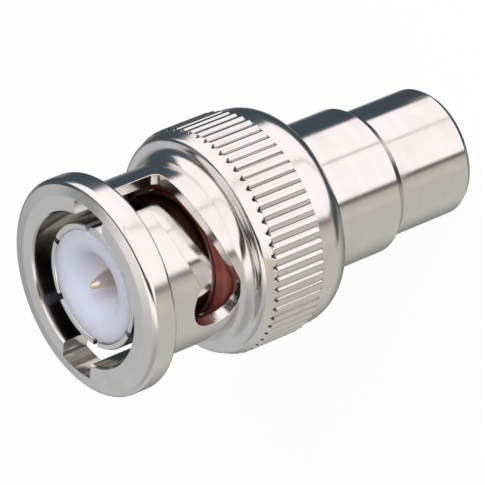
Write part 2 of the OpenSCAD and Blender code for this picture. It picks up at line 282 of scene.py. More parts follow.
def curve(centre, radius, start, end, steps):
    angles = [math.radians(start + (end - start) * k / steps) for k in range(steps + 1)]
    return [(centre[0] + radius * math.cos(a), centre[1] + radius * math.sin(a), None) for a in angles]


def addFaceKinds(mesh):
    # one empty slot for each kind of face
    for _ in range(rolledKnurl + 1):
        mesh.materials.append(None)


def makePiece(name, bm):
    mesh = bpy.data.meshes.new(name)
    bm.to_mesh(mesh)
    bm.free()
    addFaceKinds(mesh)
    piece = bpy.data.objects.new(name, mesh)
    scene.collection.objects.link(piece)
    return piece


def lathe(name, corners, segments=192):
    points, kinds = roundedLoop(corners)
    bm = bmesh.new()
    rings = []
    for radius, height in points:
        angles = [turn * j / segments for j in range(segments if radius > onAxis else 1)]
        rings.append([bm.verts.new((radius * math.cos(a), radius * math.sin(a), height)) for a in angles])
    for k, kind in enumerate(kinds):
        low, high = rings[k], rings[(k + 1) % len(rings)]
        if len(low) == len(high) == 1:
            continue
        for j in range(segments):
            i = (j + 1) % segments
            if len(low) == 1:
                corner = (low[0], high[i], high[j])
            elif len(high) == 1:
                corner = (low[j], low[i], high[0])
            else:
                corner = (low[j], low[i], high[i], high[j])
            bm.faces.new(corner).material_index = kind
    return makePiece(name, bm)


def carve(piece, cutter, operation="DIFFERENCE"):
    step = piece.modifiers.new("carve", "BOOLEAN")
    step.operation, step.object, step.solver = operation, cutter, "MANIFOLD"
    graph = bpy.context.evaluated_depsgraph_get()
    carved = bpy.data.meshes.new_from_object(piece.evaluated_get(graph))
    piece.modifiers.remove(step)
    spent = piece.data
    piece.data = carved
    bpy.data.meshes.remove(spent)
    bpy.data.meshes.remove(cutter.data)


def averaged(normals):
    total = Vector((0, 0, 0))
    for normal in normals:
        total += normal
    return total.normalized()


def ringNormal(place, section):
    radius = math.hypot(place.x, place.y)
    if radius < onAxis:
        return Vector((0, 0, math.copysign(1, section.y)))
    return Vector((section.x * place.x / radius, section.x * place.y / radius, section.y)).normalized()


def finishNormals(mesh, blendAngle=40.0, knurlAngle=16.0, digits=3):
    # turned faces get exact ring normals, and a broken edge runs from the one face's normal to the other's
    near, knurlNear = math.cos(math.radians(blendAngle)), math.cos(math.radians(knurlAngle))
    faces, corners = mesh.polygons, mesh.loops
    touching = [[] for _ in mesh.vertices]
    sections = {}
    for face in faces:
        for vertex in face.vertices:
            touching[vertex].append(face.index)
        if face.material_index in (plainTurned, roundedTurned):
            middle = Vector((face.center.x, face.center.y))
            out = Vector((face.normal.x, face.normal.y)).dot(middle.normalized()) if middle.length else 0.0
            sections[face.index] = Vector((out, face.normal.z)).normalized()
    made = [None] * len(corners)
    for face in faces:
        kind = face.material_index
        for corner in face.loop_indices:
            vertex = corners[corner].vertex_index
            place = mesh.vertices[vertex].co
            others = [faces[k] for k in touching[vertex]]
            if kind == plainTurned:
                made[corner] = ringNormal(place, sections[face.index])
            elif kind == roundedTurned:
                own = sections[face.index]
                plain = [sections[f.index] for f in others if f.material_index == plainTurned]
                plain = [s for s in plain if s.dot(own) > near]
                arcs = {}
                for f in others:
                    if f.material_index == roundedTurned and sections[f.index].dot(own) > near:
                        # the same section on either side of the vertex counts once
                        arcs[tuple(round(x, digits) for x in sections[f.index])] = sections[f.index]
                section = plain[0] if plain else sum(arcs.values(), Vector((0, 0)))
                made[corner] = ringNormal(place, section)
            elif kind == brokenEdge:
                turned = [sections[f.index] for f in others if f.index in sections]
                walls = [f.normal for f in others if f.material_index == milledWall]
                if turned:
                    made[corner] = ringNormal(place, turned[0])
                else:
                    made[corner] = averaged(walls) if walls else face.normal.copy()
            else:
                limit = knurlNear if kind == rolledKnurl else near
                like = [f.normal * f.area for f in others
                        if f.material_index == kind and f.normal.dot(face.normal) > limit]
                made[corner] = averaged(like)
    mesh.normals_split_custom_set(made)


def settle(piece, node, body, material):
    mesh = piece.data
    finishNormals(mesh)
    normals = [tuple(corner.vector) for corner in mesh.corner_normals]
    mesh.transform(Matrix.Scale(metre, 4))
    mesh.normals_split_custom_set(normals)
    mesh.materials.clear()
    mesh.materials.append(material)
    for face in mesh.polygons:
        face.material_index = 0
    mesh.update()
    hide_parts(node)
    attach(piece, body)
    print(piece.name, "made,", len(mesh.polygons), "faces")


# shared finishes

def newGroup(name, inputs, outputs):
    tree = bpy.data.node_groups.new(name, "ShaderNodeTree")
    tree.interface.new_socket("Place", in_out="INPUT", socket_type="NodeSocketVector")
    for label in inputs:
        tree.interface.new_socket(label, in_out="INPUT", socket_type="NodeSocketFloat")
    for label in outputs:
        tree.interface.new_socket(label, in_out="OUTPUT", socket_type="NodeSocketFloat")
    return tree, tree.nodes.new("NodeGroupInput").outputs, tree.nodes.new("NodeGroupOutput").inputs


noiseMiddle = 0.5


def noise(tree, inputs, dimensions="3D"):
    return addNode(tree, "ShaderNodeTexNoise", inputs, noise_dimensions=dimensions).outputs[0]


def axisReach(tree, place):
    # distance from the turning axis
    flat = addNode(tree, "ShaderNodeVectorMath", {0: place, 1: (1, 1, 0)}, operation="MULTIPLY")
    return addNode(tree, "ShaderNodeVectorMath", {0: flat.outputs[0]}, operation="LENGTH").outputs["Value"]


toolRings = dict(patchScale=700.0, patchDetail=2.0, fineDetail=3.0, fineRoughness=0.65, fineShare=0.7,
                 slowRate=0.13, slowDetail=1.0)
handMarks = dict(smudgeDetail=4.0, smudgeRoughness=0.6, smudgeEdge=(0.45, 0.75), unrollRadius=6.0, slant=0.45,
                 stretch=0.03, hairDetail=1.0, hairWidth=0.008)


def latheMarksGroup(look):
    # fine rings left by the turning tool, on cylinders and on flat faces alike
    tree, given, result = newGroup("latheMarks", ("Rings", "Wander"), ("Height", "Streak"))
    height = addNode(tree, "ShaderNodeSeparateXYZ", {0: given["Place"]}).outputs[2]
    reach = calc(tree, "ADD", height, axisReach(tree, given["Place"]))
    patch = noise(tree, {"Vector": given["Place"], "Scale": look["patchScale"],
                         "Detail": look["patchDetail"]})
    drift = calc(tree, "MULTIPLY", calc(tree, "SUBTRACT", patch, noiseMiddle), given["Wander"])
    row = calc(tree, "ADD", calc(tree, "MULTIPLY", reach, given["Rings"]), drift)
    slowRow = calc(tree, "MULTIPLY", row, look["slowRate"])
    fine = noise(tree, {"W": row, "Scale": 1.0, "Detail": look["fineDetail"],
                        "Roughness": look["fineRoughness"]}, "1D")
    slow = noise(tree, {"W": slowRow, "Scale": 1.0, "Detail": look["slowDetail"]}, "1D")
    ringed = calc(tree, "ADD", calc(tree, "MULTIPLY", fine, look["fineShare"]), patch)
    tree.links.new(ringed, result["Height"])
    tree.links.new(slow, result["Streak"])
    return tree


def handlingGroup(look):
    # hairline scratches across the unrolled surface, and faint smudges
    tree, given, result = newGroup("handling", ("Smudge Scale", "Scratch Scale"), ("Smudge", "Scratch"))
    smudge = noise(tree, {"Vector": given["Place"], "Scale": given["Smudge Scale"],
                          "Detail": look["smudgeDetail"], "Roughness": look["smudgeRoughness"]})
    soft = ease(tree, smudge, *look["smudgeEdge"])
    split = addNode(tree, "ShaderNodeSeparateXYZ", {0: given["Place"]}).outputs
    angle = calc(tree, "ARCTAN2", split[1], split[0])
    around = calc(tree, "MULTIPLY", angle, look["unrollRadius"] * metre)
    reach = calc(tree, "ADD", split[2], axisReach(tree, given["Place"]))
    unrolled = addNode(tree, "ShaderNodeCombineXYZ", {0: around, 1: reach}).outputs[0]
    slanted = addNode(tree, "ShaderNodeMapping", {"Vector": unrolled, "Rotation": (0.0, 0.0, look["slant"]),
                                                  "Scale": (1.0, look["stretch"], 1.0)}).outputs[0]
    hair = noise(tree, {"Vector": slanted, "Scale": given["Scratch Scale"],
                        "Detail": look["hairDetail"]}, "2D")
    nearLine = calc(tree, "ABSOLUTE", calc(tree, "SUBTRACT", hair, noiseMiddle))
    thin = calc(tree, "MULTIPLY", ease(tree, nearLine, look["hairWidth"], 0.0), soft)
    tree.links.new(soft, result["Smudge"])
    tree.links.new(thin, result["Scratch"])
    return tree


latheMarks, handling = latheMarksGroup(toolRings), handlingGroup(handMarks)


def useGroup(tree, group, inputs):
    return addNode(tree, "ShaderNodeGroup", inputs, node_tree=group).outputs


def newMaterial(name):
    material = bpy.data.materials.new(name)
    material.use_nodes = True
    tree = material.node_tree
    tree.nodes.clear()
    shader = addNode(tree, "ShaderNodeBsdfPrincipled")
    addNode(tree, "ShaderNodeOutputMaterial", {"Surface": shader.outputs[0]})
    place = addNode(tree, "ShaderNodeTexCoord").outputs["Object"]
    return material, tree, shader, place


def edgeAt(radius, width=0.1):
    # bounds of a soft change from this radius outwards
    return radius * metre, (radius + width) * metre


def paintedShadeShare(tree, place, paintedShade):
    # painted shade: a near-black colour along the bottom of the knurl's grooves and all over their front
    # ends, where shade falls
    height = addNode(tree, "ShaderNodeSeparateXYZ", {0: place}).outputs[2]
    past = calc(tree, "DIVIDE", calc(tree, "SUBTRACT", height, paintedShade["full"] * metre), metre)
    onBevel = calc(tree, "MULTIPLY", calc(tree, "MAXIMUM", past, 0.0), paintedShade["lean"])
    skin = calc(tree, "SUBTRACT", paintedShade["tip"], onBevel)
    sunk = calc(tree, "SUBTRACT", skin, calc(tree, "DIVIDE", axisReach(tree, place), metre))
    inKnurl = calc(tree, "MULTIPLY", ease(tree, past, *paintedShade["rear"]), ease(tree, past, *paintedShade["front"]))
    atEnd = calc(tree, "MULTIPLY", ease(tree, past, *paintedShade["end"]), ease(tree, sunk, *paintedShade["skin"]))
    atBottom = calc(tree, "MULTIPLY", ease(tree, sunk, *paintedShade["deep"]), paintedShade["deepShare"])
    return calc(tree, "MULTIPLY", calc(tree, "MAXIMUM", atBottom, atEnd), inKnurl)


def finishShader(tree, shader, look, colour, roughShare, height):
    low, high = look["roughness"]
    rough = calc(tree, "ADD", calc(tree, "MULTIPLY", roughShare, high - low), low)
    bump = addNode(tree, "ShaderNodeBump", {"Height": height, "Strength": look["bump"],
                                            "Distance": look["depth"] * metre})
    tree.links.new(colour, shader.inputs["Base Color"])
    tree.links.new(rough, shader.inputs["Roughness"])
    tree.links.new(bump.outputs[0], shader.inputs["Normal"])


def platedMetal(name, look):
    material, tree, shader, place = newMaterial(name)
    marks = useGroup(tree, latheMarks, {"Place": place, "Rings": look["rings"], "Wander": look["wander"]})
    wear = useGroup(tree, handling, {"Place": place, "Smudge Scale": look["smudgeScale"],
                                     "Scratch Scale": look["scratchScale"]})
    colour = blend(tree, marks["Streak"], look["light"], look["deep"])
    colour = blend(tree, calc(tree, "MULTIPLY", wear["Smudge"], look["smudge"]), colour, look["dull"])
    if "bore" in look:
        # the bore is tarnished
        outside = ease(tree, axisReach(tree, place), *edgeAt(look["boreRadius"]))
        colour = blend(tree, outside, look["bore"], colour)
    if "paintedShade" in look:
        # painted shade in the knurl's grooves and at their front ends
        colour = blend(tree, paintedShadeShare(tree, place, look["paintedShade"]), colour, look["paintedShade"]["colour"])
    scratches = calc(tree, "MULTIPLY", wear["Scratch"], look["scratch"])
    height = calc(tree, "SUBTRACT", marks["Height"], scratches)
    shader.inputs["Metallic"].default_value = 1.0
    finishShader(tree, shader, look, colour, wear["Smudge"], height)
    return material


def moulded(name, look):
    material, tree, shader, place = newMaterial(name)
    grain = noise(tree, {"Vector": place, "Scale": look["grainScale"], "Detail": look["grainDetail"]})
    cloud = noise(tree, {"Vector": place, "Scale": look["cloudScale"], "Detail": look["cloudDetail"]})
    colour = blend(tree, ease(tree, cloud, *look["cloudEdge"]), look["light"], look["deep"])
    if "core" in look:
        # painted light: the colour turns paler towards the axis so the recess looks brighter than its shade
        # leaves it; the subsurface scattering set below lets real light through the thin walls round the axis
        paintedLightBounds = edgeAt(look["coreRadius"], look["coreWidth"])
        colour = blend(tree, ease(tree, axisReach(tree, place), *paintedLightBounds), look["core"], colour)
        shader.inputs["Subsurface Weight"].default_value = look["depthOfLight"]
        shader.inputs["Subsurface Radius"].default_value = look["lightSpread"]
        shader.inputs["Subsurface Scale"].default_value = look["lightReach"] * metre
    finishShader(tree, shader, look, colour, grain, grain)
    return material


nickel = dict(rings=7000.0, wander=0.3, smudgeScale=350.0, smudge=0.5, scratchScale=900.0, scratch=0.5,
              bump=0.6, depth=0.006, roughness=(0.11, 0.20), light=opaque(0.81, 0.79, 0.765),
              deep=opaque(0.75, 0.735, 0.71), dull=opaque(0.70, 0.68, 0.645))
steel = dict(nickel, rings=4000.0, roughness=(0.25, 0.38), light=opaque(0.60, 0.60, 0.60),
             deep=opaque(0.52, 0.52, 0.53), dull=opaque(0.45, 0.44, 0.43))
gold = dict(nickel, rings=9000.0, roughness=(0.16, 0.26), light=opaque(0.80, 0.72, 0.59),
            deep=opaque(0.75, 0.66, 0.53), dull=opaque(0.68, 0.59, 0.46))
moulding = dict(grainDetail=3.0, cloudDetail=2.0, cloudEdge=(0.35, 0.65))
# the insulator's core colour is painted light: paler towards the axis, so the recess looks less shaded
insulation = dict(moulding, light=opaque(0.67, 0.685, 0.83), deep=opaque(0.64, 0.655, 0.80),
                  core=opaque(0.95, 0.90, 0.85), coreRadius=0.9, coreWidth=1.2,
                  depthOfLight=0.9, lightSpread=(1.0, 0.95, 0.9), lightReach=2.0,
                  grainScale=5000.0, cloudScale=250.0, roughness=(0.38, 0.50), bump=0.3, depth=0.004)
silicone = dict(moulding, light=opaque(0.24, 0.055, 0.035), deep=opaque(0.16, 0.038, 0.026),
                grainScale=4000.0, cloudScale=600.0, roughness=(0.40, 0.52), bump=0.4, depth=0.006)

brightNickel = platedMetal("brightNickel", nickel)
springSteel = platedMetal("springSteel", steel)
paleGold = platedMetal("paleGold", gold)
milkyInsulator = moulded("milkyInsulator", insulation)
redSilicone = moulded("redSilicone", silicone)
print("finishes mixed")


# coupling sleeve: blank, knurl and bayonet tracks

# bite, overlap, sink and hair are small laps that keep cuts and unions from meeting face on face
sleeve = dict(lipRadius=4.87, chamberRadius=6.05, chamber=(1.2, 5.4), bore=4.9, neckRadius=5.62,
              rimRadius=7.05, rimLength=2.28, rimEdge=0.03, rollLength=1.45, rollIn=0.63, rollSteps=10,
              bevelLength=0.87, bevelLean=23.0, shoulderEdge=0.35, fillet=0.78,
              flangeRadius=6.925, flangeLength=1.87, flangeEdge=0.4, flangeBackEdge=0.35,
              faceRadius=5.9, faceDrop=0.17, faceRound=1.2, mouthDepth=0.14, mouthWiden=0.12,
              edge=0.05, segments=256)
knurl = dict(radius=7.24, length=3.7, teeth=62, depth=0.17, crestTilt=50.0, crestSteps=7, rearRun=0.14,
             grooveEnd=0.03, grooveStop=0.22, grooveRise=0.22, leastRise=0.01, core=6.75, bite=0.15,
             overlap=0.02, sink=0.008, weld=0.001)
track = dict(width=2.7, keyRadius=5.95, entryAngle=315.5, detentTurn=87.5, start=4.83, rise=1.28, dwell=14.0,
             power=1.8, detentDepth=5.9, detentRadius=1.75, crestShare=0.76, corner=0.5, pocketEnd=178.0,
             rampSteps=40, pocketSteps=44, floorSteps=8, cornerStep=15, edge=0.045, edgePast=0.5,
             insideRadius=4.4, clearance=0.3, overshoot=1.0, hair=0.002)

bevelSlope = math.tan(math.radians(sleeve["bevelLean"]))
knurlLow = heights("coupling_sleeve")[0] + sleeve["rimLength"]
knurlHigh = knurlLow + knurl["length"]  # the teeth are at their full height up to here
grooveEndRadius = knurl["radius"] - knurl["depth"] + knurl["grooveEnd"]

# painted shade for the knurl's grooves: a near-black colour at their bottoms and front ends, where shade
# falls
grooveShadePaint = dict(full=knurlHigh, tip=knurl["radius"], lean=bevelSlope, deep=(0.11, 0.155), deepShare=0.6,
                   end=(-0.16, -0.02), skin=(0.015, 0.035), front=(0.4, 0.35),
                   rear=(0.02 - knurl["length"], 0.1 - knurl["length"]), colour=opaque(0.09, 0.085, 0.075))
satin = dict(nickel, rings=6000.0, roughness=(0.15, 0.23), bore=opaque(0.30, 0.285, 0.25), boreRadius=4.88,
             paintedShade=grooveShadePaint)
satinNickel = platedMetal("satinNickel", satin)


def bevelHeight(radius):
    # height at which the bevel in front of the teeth has this radius
    return knurlHigh + (knurl["radius"] - radius) / bevelSlope


def sleeveBlank(part):
    low, high = heights("coupling_sleeve")
    shoulder = knurlHigh + part["bevelLength"]
    flangeBack = high - part["flangeLength"]
    rim, neck, bore, flange = (part[name] for name in ("rimRadius", "neckRadius", "bore", "flangeRadius"))
    grooveTop = bevelHeight(grooveEndRadius)
    bevelEnd = knurl["radius"] - part["bevelLength"] * bevelSlope
    chamberLow, chamberHigh = (low + depth for depth in part["chamber"])
    roll = (part["rollLength"] ** 2 + part["rollIn"] ** 2) / (2 * part["rollIn"])
    rollStart = -math.degrees(math.asin(part["rollLength"] / roll))
    corners = [(part["lipRadius"], low, part["edge"])]
    corners += curve((rim - roll, low + part["rollLength"]), roll, rollStart, 0, part["rollSteps"])
    corners += [(rim, knurlLow, part["rimEdge"]), (knurl["core"], knurlLow, 0), (knurl["core"], grooveTop, 0),
                (grooveEndRadius, grooveTop, 0), (bevelEnd, shoulder, part["shoulderEdge"]),
                (neck, shoulder, part["fillet"]), (neck, flangeBack, part["edge"]),
                (flange, flangeBack, part["flangeBackEdge"]),
                (flange, high - part["faceDrop"], part["flangeEdge"]),
                (part["faceRadius"], high, part["faceRound"]),
                (bore + part["mouthWiden"], high, part["edge"]),
                (bore, high - part["mouthDepth"], part["edge"]),
                (bore, chamberHigh, 0), (part["chamberRadius"], chamberHigh, 0),
                (part["chamberRadius"], chamberLow, 0), (part["lipRadius"], chamberLow, part["edge"])]
    return lathe("couplingSleeve", corners, part["segments"])


def toothOutline(wall):
    # a round crest, as (share of the pitch, share of the depth), with a corner at the end wall's start
    steepest = math.radians(knurl["crestTilt"])
    tilts = [steepest * k / knurl["crestSteps"] for k in range(knurl["crestSteps"] + 1)]
    tilts = sorted(tilts + [math.acos(1 - (1 - wall) * (1 - math.cos(steepest)))])
    half = [(math.sin(tilt) / math.sin(steepest) / 2, 1 - (1 - math.cos(tilt)) / (1 - math.cos(steepest)))
            for tilt in tilts]
    return [(-share, rise) for share, rise in reversed(half)] + half[1:]


def knurlTooth():
    # one tooth's sector, from groove to groove, open at its two sides
    pitch = turn / knurl["teeth"]
    tip, root, inner = knurl["radius"], knurl["radius"] - knurl["depth"], knurl["core"] - knurl["bite"]
    low, stop = knurlLow - knurl["overlap"], knurlHigh + knurl["grooveStop"]
    wallTop = tip - knurl["grooveStop"] * bevelSlope
    high = bevelHeight(grooveEndRadius) + knurl["overlap"]
    outline = toothOutline((wallTop - root) / knurl["depth"])

    def frontEnd(radius):
        # on the bevel near the tip, on the groove's steep end wall below
        drop = knurl["grooveRise"] * (wallTop - radius) / (wallTop - root)
        return min(bevelHeight(radius), stop - max(drop, knurl["leastRise"]))

    radii = [root + (tip - root) * rise for _, rise in outline]
    ends = [[(sleeve["rimRadius"] - knurl["overlap"], low)] * len(radii),
            [(radius, low + knurl["rearRun"]) for radius in radii],
            [(radius, frontEnd(radius)) for radius in radii],
            [(wallTop - knurl["sink"], stop)] * len(radii),
            [(grooveEndRadius - knurl["sink"], high)] * len(radii)]
    bm = bmesh.new()

    def point(share, radius, height):
        angle = (share + 0.5) * pitch
        return bm.verts.new((radius * math.cos(angle), radius * math.sin(angle), height))

    outer = [[point(share, *place) for (share, _), place in zip(outline, level)] for level in ends]
    core = [[point(share, inner, z) for share, _ in outline] for z in (low, high)]
    for below, above in zip(outer, outer[1:]):
        for k in range(len(outline) - 1):
            bm.faces.new((below[k], below[k + 1], above[k + 1], above[k]))
    for k in range(len(outline) - 1):
        bm.faces.new((core[0][k + 1], core[0][k], core[1][k], core[1][k + 1]))
        bm.faces.new((core[0][k], core[0][k + 1], outer[0][k + 1], outer[0][k]))
        bm.faces.new((core[1][k + 1], core[1][k], outer[-1][k], outer[-1][k + 1]))
    return makePiece("knurlTooth", bm)


def knurlTree():
    tree = bpy.data.node_groups.new("knurlRing", "GeometryNodeTree")
    for name, kind in (("Tooth", "Geometry"), ("Teeth", "Int"), ("Weld", "Float"), ("Finish", "Material")):
        tree.interface.new_socket(name, in_out="INPUT", socket_type="NodeSocket" + kind)
    tree.interface.new_socket("Ring", in_out="OUTPUT", socket_type="NodeSocketGeometry")
    given, result = tree.nodes.new("NodeGroupInput").outputs, tree.nodes.new("NodeGroupOutput").inputs

    def step(kind, inputs):
        return addNode(tree, "GeometryNode" + kind, inputs).outputs[0]

    number = step("InputIndex", {})
    angle = calc(tree, "DIVIDE", calc(tree, "MULTIPLY", number, turn), given["Teeth"])
    spin = addNode(tree, "ShaderNodeCombineXYZ", {"Z": angle}).outputs[0]
    points = step("Points", {"Count": given["Teeth"]})
    ring = step("InstanceOnPoints", {"Points": points, "Instance": given["Tooth"], "Rotation": spin})
    ring = step("RealizeInstances", {"Geometry": ring})
    ring = step("MergeByDistance", {"Geometry": ring, "Distance": given["Weld"]})
    ring = step("SetMaterial", {"Geometry": ring, "Material": given["Finish"]})
    tree.links.new(ring, result["Ring"])
    return tree


def knurlRing():
    ring = knurlTooth()
    step = ring.modifiers.new("knurlRing", "NODES")
    step.node_group = knurlTree()
    values = {"Teeth": knurl["teeth"], "Weld": knurl["weld"], "Finish": satinNickel}
    for socket in step.node_group.interface.items_tree:
        if socket.in_out == "INPUT" and socket.name in values:
            step[socket.identifier] = values[socket.name]
    graph = bpy.context.evaluated_depsgraph_get()
    mesh = bpy.data.meshes.new_from_object(ring.evaluated_get(graph))
    ring.modifiers.remove(step)
    ring.data = mesh
    mesh.materials.clear()
    addFaceKinds(mesh)
    for face in mesh.polygons:
        face.material_index = rolledKnurl
    return ring


pocketTurn = math.degrees(track["detentRadius"] / sleeve["neckRadius"])
crestTurn = track["detentTurn"] - track["crestShare"] * pocketTurn


def slotEdges(turned):
    # depths of the slot's front and rear edge below the mouth, so many degrees past the entry
    share = max(0.0, (turned - track["dwell"]) / (crestTurn - track["dwell"]))
    middle = track["start"] + track["rise"] * share ** track["power"]
    inPocket = max(0.0, 1 - ((turned - track["detentTurn"]) / pocketTurn) ** 2)
    pocketHalf = track["detentRadius"] * math.sqrt(inPocket)
    deepest = track["detentDepth"] + track["detentRadius"]
    front = middle - track["width"] / 2 if turned < crestTurn else track["detentDepth"] - pocketHalf
    rear = min(middle + track["width"] / 2, deepest)
    if turned >= track["detentTurn"]:
        rear = track["detentDepth"] + pocketHalf
    return front, rear


def slotTurns():
    # along the ramp to the crest, then round the pocket
    rampSteps, pocketSteps = track["rampSteps"], track["pocketSteps"]
    crest = math.degrees(math.acos(track["crestShare"]))
    ramp = [crestTurn * k / rampSteps for k in range(rampSteps)]
    pocket = [crest + (track["pocketEnd"] - crest) * k / pocketSteps for k in range(pocketSteps + 1)]
    return ramp + [track["detentTurn"] - pocketTurn * math.cos(math.radians(angle)) for angle in pocket]


def outwardNormals(line):
    # left-hand normals of a flat polyline
    normals = []
    for k in range(len(line)):
        step = line[min(k + 1, len(line) - 1)] - line[max(k - 1, 0)]
        normals.append(Vector((-step.y, step.x)).normalized())
    return normals


def loftCutter(bm, levels, kinds, caps):
    # levels are closed rings of equal length, innermost first; caps are faces by place in a ring
    rings = [[bm.verts.new(point) for point in level] for level in levels]
    count = len(rings[0])
    for inner, outer, kind in zip(rings, rings[1:], kinds):
        for k in range(count):
            j = (k + 1) % count
            bm.faces.new((inner[k], inner[j], outer[j], outer[k])).material_index = kind
    for cap in caps:
        bm.faces.new([rings[0][k] for k in reversed(cap)]).material_index = milledWall
        bm.faces.new([rings[-1][k] for k in cap]).material_index = milledWall


def makeCutter(name, bm):
    bmesh.ops.triangulate(bm, faces=bm.faces)
    bmesh.ops.recalc_face_normals(bm, faces=bm.faces)
    return makePiece(name, bm)


def cutterLevels(outermost):
    # radius of each level, innermost first, and how far it is spread for the broken edge
    neck, edge, past = sleeve["neckRadius"], track["edge"], track["edgePast"]
    spread = edge * (1 + past)
    return ((track["insideRadius"], 0), (neck - edge, 0), (neck + edge * past, spread), (outermost, spread))


def slotCutter(angles):
    neck = sleeve["neckRadius"]
    mouth = heights("coupling_sleeve")[1]
    turns = slotTurns()
    front = [Vector((neck * math.radians(t), mouth - slotEdges(t)[0])) for t in turns]
    rear = [Vector((neck * math.radians(t), mouth - slotEdges(t)[1])) for t in turns]
    outline = rear + front[::-1]
    normals = [-n for n in outwardNormals(rear)] + outwardNormals(front)[::-1]
    count = len(turns)
    caps = [(k, k + 1, 2 * count - 2 - k, 2 * count - 1 - k) for k in range(count - 1)]
    bm = bmesh.new()
    for start in angles:
        levels = []
        for radius, spread in cutterLevels(neck + track["clearance"]):
            level = []
            for point, normal in zip(outline, normals):
                flat = point + normal * spread
                angle = math.radians(start) - flat.x / neck
                level.append((radius * math.cos(angle), radius * math.sin(angle), flat.y))
            levels.append(level)
        loftCutter(bm, levels, (milledWall, brokenEdge, milledWall), caps)
    return makeCutter("slotCutter", bm)


def entryCutter(angles):
    half, corner, floorSteps = track["width"] / 2, track["corner"], track["floorSteps"]
    mouth = heights("coupling_sleeve")[1]
    bottom = mouth - slotEdges(0)[1] + track["hair"]
    flangeBack = mouth - sleeve["flangeLength"]
    top = mouth + track["overshoot"]
    across = [-half + (2 * half - corner) * k / floorSteps for k in range(floorSteps + 1)]
    cornerAngles = range(track["cornerStep"], 90 + 1, track["cornerStep"])
    across += [half - corner + corner * math.sin(math.radians(angle)) for angle in cornerAngles]
    floorLine = []
    for x in across:
        lean = max(0.0, (x - half + corner) / corner)
        level = math.sqrt(max(0.0, 1 - lean * lean))
        floorLine.append((x, bottom + corner * (1 - level), lean, -level))
    x, height, _, drop = floorLine[0]
    floorLine[0] = (x, height, -1, drop)
    right = [(half, flangeBack - track["hair"], 1, 0), (half, flangeBack, 0, 0)]
    left = [(-half, flangeBack, 0, 0), (-half, flangeBack - track["hair"], -1, 0)]
    topLine = [(x, top, 0, 0) for x in reversed(across)]
    outline = floorLine + right + topLine + left
    count, last = len(across), len(outline) - 1
    topFirst = count + 2
    caps = [(k, k + 1, topFirst + count - 2 - k, topFirst + count - 1 - k) for k in range(1, count - 2)]
    caps.append((0, 1, topFirst + count - 2, topFirst + count - 1, last - 1, last))
    caps.append((count - 2, count - 1, count, count + 1, topFirst, topFirst + 1))
    bm = bmesh.new()
    for start in angles:
        way = Vector((math.cos(math.radians(start)), math.sin(math.radians(start)), 0))
        cross = Vector((-way.y, way.x, 0))
        levels = []
        for radius, spread in cutterLevels(track["keyRadius"]):
            level = []
            for x, height, outX, outZ in outline:
                offset = x + outX * spread
                reach = math.sqrt(radius * radius - offset * offset)
                level.append(way * reach + cross * offset + Vector((0, 0, height + outZ * spread)))
            levels.append(level)
        loftCutter(bm, levels, (milledWall, brokenEdge, milledWall), caps)
    return makeCutter("entryCutter", bm)


def makeSleeve():
    piece = sleeveBlank(sleeve)
    carve(piece, knurlRing(), "UNION")
    sides = (track["entryAngle"], track["entryAngle"] + 180)
    carve(piece, entryCutter(sides))
    carve(piece, slotCutter(sides))
    settle(piece, "coupling_sleeve", "sleeve", satinNickel)


makeSleeve()


# plug body with its split contact

plugBody = dict(spigotHole=3.92, radius=4.75, rearBevel=(0.62, 0.42), bevelEdge=0.12, seatRadius=5.93,
                seat=(10.25, 11.85), gasketSeat=(12.4, 14.6), gasketRadius=4.25, ferruleRadius=4.05,
                ferruleBore=3.6, ferruleEdge=0.12, webRadius=2.6, web=(7.9, 9.1), edge=0.05)
contactSlots = dict(count=6, width=0.4, length=3.4, angle=27.0, past=0.5, endPast=1.0)


def slotBlades(name, slots, bore, radius, end, inward):
    # cutters for slots through a tube's wall, which start past its end and run inward
    bm = bmesh.new()
    half = slots["width"] / 2
    inner, outer = bore - slots["past"], radius + slots["past"]
    low, high = sorted((end - inward * slots["endPast"], end + inward * slots["length"]))
    for k in range(slots["count"]):
        spin = Matrix.Rotation(math.radians(slots["angle"]) + turn * k / slots["count"], 3, "Z")
        for vertex in bmesh.ops.create_cube(bm, size=1)["verts"]:
            x = inner if vertex.co.x < 0 else outer
            y = -half if vertex.co.y < 0 else half
            vertex.co = spin @ Vector((x, y, low if vertex.co.z < 0 else high))
    for face in bm.faces:
        face.material_index = milledWall
    bmesh.ops.recalc_face_normals(bm, faces=bm.faces)
    return makePiece(name, bm)


def makePlugBody(part):
    low, high = heights("plug_body")
    seatLow, seatHigh = (low + z for z in part["seat"])
    gasketLow, gasketHigh = (low + z for z in part["gasketSeat"])
    webLow, webHigh = (low + z for z in part["web"])
    edge = part["edge"]
    bevelLength, bevelDrop = part["rearBevel"]
    bore, ferrule, ferruleEdge = part["ferruleBore"], part["ferruleRadius"], part["ferruleEdge"]
    corners = [(part["spigotHole"], low, edge), (part["radius"] - bevelDrop, low, part["bevelEdge"]),
               (part["radius"], low + bevelLength, part["bevelEdge"]), (part["radius"], seatLow, 0),
               (part["seatRadius"], seatLow, edge), (part["seatRadius"], seatHigh, edge),
               (part["radius"], seatHigh, 0), (part["radius"], gasketLow, edge),
               (part["gasketRadius"], gasketLow, 0), (part["gasketRadius"], gasketHigh, edge),
               (ferrule, gasketHigh, 0), (ferrule, high, ferruleEdge), (bore, high, ferruleEdge),
               (bore, webHigh, 0), (part["webRadius"], webHigh, 0), (part["webRadius"], webLow, 0),
               (part["spigotHole"], webLow, 0)]
    piece = lathe("plugBody", corners)
    carve(piece, slotBlades("contactBlades", contactSlots, bore, ferrule, high, -1))
    settle(piece, "plug_body", "body", brightNickel)


makePlugBody(plugBody)


# rear barrel

barrel = dict(radius=4.15, length=5.75, bore=3.4, endBevel=(0.36, 0.22), bevelEdge=0.08, stepEdge=0.03,
              spigot=3.9, edge=0.1)


